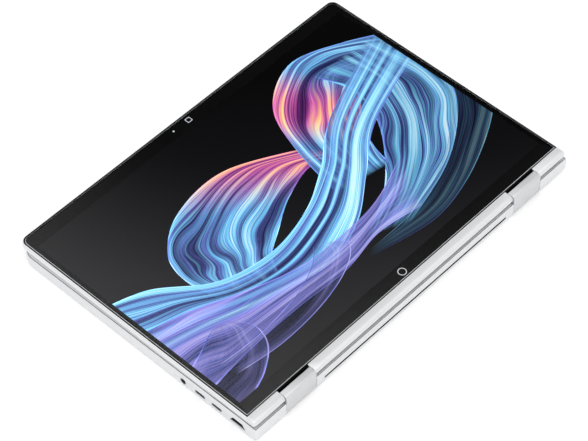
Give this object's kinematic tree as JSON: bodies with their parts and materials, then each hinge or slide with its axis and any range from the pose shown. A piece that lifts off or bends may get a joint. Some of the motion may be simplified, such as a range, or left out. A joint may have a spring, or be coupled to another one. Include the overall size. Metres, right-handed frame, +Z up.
{
  "type": "convertible laptop computer",
  "caption": "Slim silver convertible laptop folded back as a tablet: screen side up on its base, on a geared two-axis hinge, with sockets along one side.",
  "frame": {"origin": "middle of the footprint, on the surface under the keyboard deck", "axes": "+X along the hinge, +Y from the hinge to the free edge, +Z up from the keyboard deck to the screen"},
  "size_m": [0.3142, 0.2212, 0.0184],
  "materials": {
    "case_aluminium": "fine bead-blasted silver",
    "hinge_metal": "satin silver",
    "cover_glass": "clear polished",
    "black_print": "black print under the glass",
    "display": "lit screen",
    "gasket": "matt black",
    "key_caps": "satin grey",
    "black_plastic": "matt black",
    "touchpad_glass": "satin etched",
    "port_shell": "stamped steel",
    "hinge_steel": "ground steel",
    "power_button": "satin silver",
    "status_light": "frosted lens",
    "circuit_board": "solder mask",
    "battery": "black film",
    "copper": "copper",
    "lens": "coated lens",
    "cable": "black tape"
  },
  "bodies": {
    "base": {"deck_cover": "case_aluminium", "bottom_cover": "case_aluminium", "bottom_screws": "port_shell", "front_foot": "gasket", "rear_foot": "gasket", "exhaust_grille": "black_plastic", "speaker_grille": "black_plastic", "keyboard_frame": "black_plastic", "keyboard_plate": "port_shell", "touchpad_frame": "port_shell", "mainboard": "circuit_board", "battery_pack": "battery", "fan_housing": "black_plastic", "heat_sink": "copper", "heat_pipe": "copper", "ssd_module": "circuit_board", "wireless_card": "circuit_board", "speakers": "black_plastic", "video_port": "port_shell", "video_tongue": "black_plastic", "data_ports": "port_shell", "data_tongues": "black_plastic", "audio_jack": "port_shell", "status_lights": "status_light", "wide_port": "port_shell", "wide_tongue": "black_plastic", "base_brackets": "port_shell", "base_gear_shafts": "hinge_steel"},
    "hinge": {"hinge_cover_left": "hinge_metal", "hinge_cover_right": "hinge_metal", "hinge_links": "hinge_steel"},
    "lower_idlers": {"idler_gears_lower": "hinge_steel"},
    "upper_idlers": {"idler_gears_upper": "hinge_steel"},
    "lid": {"lid_rail": "case_aluminium", "lid_cover": "case_aluminium", "glass_gasket": "gasket", "cover_glass": "cover_glass", "bezel_mask": "black_print", "display_panel": "display", "webcam_module": "black_plastic", "webcam_lens": "lens", "antennas": "circuit_board", "lid_brackets": "port_shell", "lid_gear_shafts": "hinge_steel", "display_cable": "cable"},
    "shutter": {"webcam_shutter": "black_plastic"},
    "pad": {"touchpad": "touchpad_glass"},
    "power": {"power_button": "power_button"},
    "rotor": {"fan_rotor": "black_plastic"},
    "function_keys": {"function_keys": "key_caps"},
    "number_keys": {"number_keys": "key_caps"},
    "upper_letter_keys": {"upper_letter_keys": "key_caps"},
    "middle_letter_keys": {"middle_letter_keys": "key_caps"},
    "lower_letter_keys": {"lower_letter_keys": "key_caps"},
    "bottom_keys": {"bottom_keys": "key_caps"},
    "enter_key": {"enter_key": "key_caps"},
    "space_bar": {"space_bar": "key_caps"},
    "arrow_keys": {"arrow_keys": "key_caps"}
  },
  "joints": [
    {"name": "base_hinge", "type": "hinge", "parent": "base", "child": "hinge", "pos_m": [0, -0.10695, 0.00625], "axis": [1, 0, 0], "range_deg": [0, 180]},
    {"name": "lid_hinge", "type": "hinge", "parent": "hinge", "child": "lid", "pos_m": [0, -0.10695, 0.0157], "axis": [1, 0, 0], "range_deg": [0, 180]},
    {"name": "lower_idler_spin", "type": "hinge", "parent": "hinge", "child": "lower_idlers", "pos_m": [0, -0.10695, 0.0094], "axis": [1, 0, 0], "range_deg": [0, 180]},
    {"name": "upper_idler_spin", "type": "hinge", "parent": "hinge", "child": "upper_idlers", "pos_m": [0, -0.10695, 0.01255], "axis": [1, 0, 0], "range_deg": [-180, 0]},
    {"name": "shutter_slide", "type": "slide", "parent": "lid", "child": "shutter", "axis": [1, 0, 0], "range_m": [0, 0.0042]},
    {"name": "touchpad_click", "type": "hinge", "parent": "base", "child": "pad", "pos_m": [0, 0.027, 0.00075], "axis": [1, 0, 0], "range_deg": [0, 0.2], "stiffness_Nm_per_rad": 5, "springref_deg": -0.11},
    {"name": "power_press", "type": "slide", "parent": "base", "child": "power", "axis": [-1, 0, 0], "range_m": [0, 0.0004], "stiffness_N_per_m": 1500, "springref_m": -0.0003},
    {"name": "fan_spin", "type": "hinge", "parent": "base", "child": "rotor", "pos_m": [0.104, -0.068, 0.0075], "axis": [0, 0, 1], "continuous": true},
    {"name": "function_keys_press", "type": "slide", "parent": "base", "child": "function_keys", "axis": [0, 0, 1], "range_m": [0, 0.0013], "stiffness_N_per_m": 400, "springref_m": -0.001},
    {"name": "number_keys_press", "type": "slide", "parent": "base", "child": "number_keys", "axis": [0, 0, 1], "range_m": [0, 0.0013], "stiffness_N_per_m": 400, "springref_m": -0.001},
    {"name": "upper_letter_keys_press", "type": "slide", "parent": "base", "child": "upper_letter_keys", "axis": [0, 0, 1], "range_m": [0, 0.0013], "stiffness_N_per_m": 400, "springref_m": -0.001},
    {"name": "middle_letter_keys_press", "type": "slide", "parent": "base", "child": "middle_letter_keys", "axis": [0, 0, 1], "range_m": [0, 0.0013], "stiffness_N_per_m": 400, "springref_m": -0.001},
    {"name": "lower_letter_keys_press", "type": "slide", "parent": "base", "child": "lower_letter_keys", "axis": [0, 0, 1], "range_m": [0, 0.0013], "stiffness_N_per_m": 400, "springref_m": -0.001},
    {"name": "bottom_keys_press", "type": "slide", "parent": "base", "child": "bottom_keys", "axis": [0, 0, 1], "range_m": [0, 0.0013], "stiffness_N_per_m": 400, "springref_m": -0.001},
    {"name": "enter_key_press", "type": "slide", "parent": "base", "child": "enter_key", "axis": [0, 0, 1], "range_m": [0, 0.0013], "stiffness_N_per_m": 400, "springref_m": -0.001},
    {"name": "space_bar_press", "type": "slide", "parent": "base", "child": "space_bar", "axis": [0, 0, 1], "range_m": [0, 0.0013], "stiffness_N_per_m": 400, "springref_m": -0.001},
    {"name": "arrow_keys_press", "type": "slide", "parent": "base", "child": "arrow_keys", "axis": [0, 0, 1], "range_m": [0, 0.0013], "stiffness_N_per_m": 400, "springref_m": -0.001}
  ],
  "couplings": [
    {"joint": "lid_hinge", "follows": "base_hinge", "ratio": 1},
    {"joint": "lower_idler_spin", "follows": "base_hinge", "ratio": 1},
    {"joint": "upper_idler_spin", "follows": "base_hinge", "ratio": -1}
  ]
}
